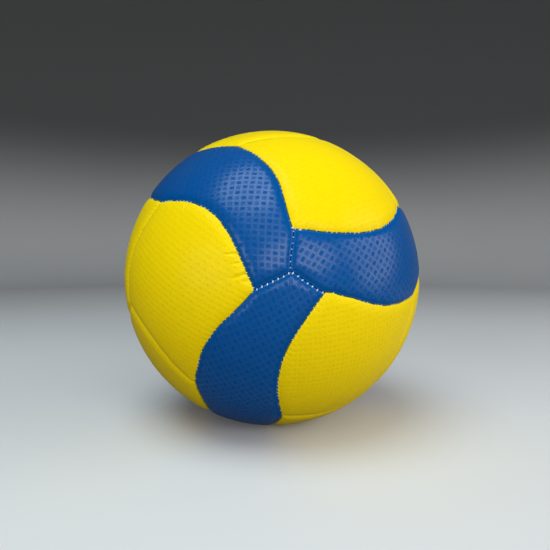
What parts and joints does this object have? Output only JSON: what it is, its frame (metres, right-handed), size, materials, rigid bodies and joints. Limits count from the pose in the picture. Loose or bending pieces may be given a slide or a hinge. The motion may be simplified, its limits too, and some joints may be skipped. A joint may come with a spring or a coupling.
{
  "type": "volleyball",
  "caption": "Inflated sewn ball with rounded S-shaped bands and kite panels over foam, cloth lining, rubber bladder and needle valve.",
  "frame": {"origin": "centre of the ball", "axes": "+Z along the inflating valve, outwards through the top panel; -Y towards the meeting point of three bands that faces the camera in the picture; +X to the right of the picture"},
  "size_m": [0.21, 0.21, 0.2099],
  "materials": {
    "blue_leather": "embossed synthetic leather, satin",
    "yellow_leather": "embossed synthetic leather, satin",
    "foam": "fine closed-cell foam",
    "thread": "waxed polyester thread",
    "lining": "plain weave cloth",
    "bladder_rubber": "smooth matt rubber",
    "valve_rubber": "moulded rubber",
    "core_rubber": "soft moulded rubber"
  },
  "bodies": {
    "root": {"blue_panel_1": "blue_leather", "blue_panel_2": "blue_leather", "blue_panel_3": "blue_leather", "blue_panel_4": "blue_leather", "blue_panel_5": "blue_leather", "blue_panel_6": "blue_leather", "yellow_panel_1": "yellow_leather", "yellow_panel_2": "yellow_leather", "yellow_panel_3": "yellow_leather", "yellow_panel_4": "yellow_leather", "yellow_panel_5": "yellow_leather", "yellow_panel_6": "yellow_leather", "yellow_panel_7": "yellow_leather", "yellow_panel_8": "yellow_leather", "yellow_panel_9": "yellow_leather", "yellow_panel_10": "yellow_leather", "yellow_panel_11": "yellow_leather", "yellow_panel_12": "yellow_leather", "blue_pad_1": "foam", "blue_pad_2": "foam", "blue_pad_3": "foam", "blue_pad_4": "foam", "blue_pad_5": "foam", "blue_pad_6": "foam", "yellow_pad_1": "foam", "yellow_pad_2": "foam", "yellow_pad_3": "foam", "yellow_pad_4": "foam", "yellow_pad_5": "foam", "yellow_pad_6": "foam", "yellow_pad_7": "foam", "yellow_pad_8": "foam", "yellow_pad_9": "foam", "yellow_pad_10": "foam", "yellow_pad_11": "foam", "yellow_pad_12": "foam", "seam_thread": "thread", "cloth_lining": "lining", "bladder": "bladder_rubber", "valve_body": "valve_rubber", "valve_core": "core_rubber"}
  },
  "joints": []
}
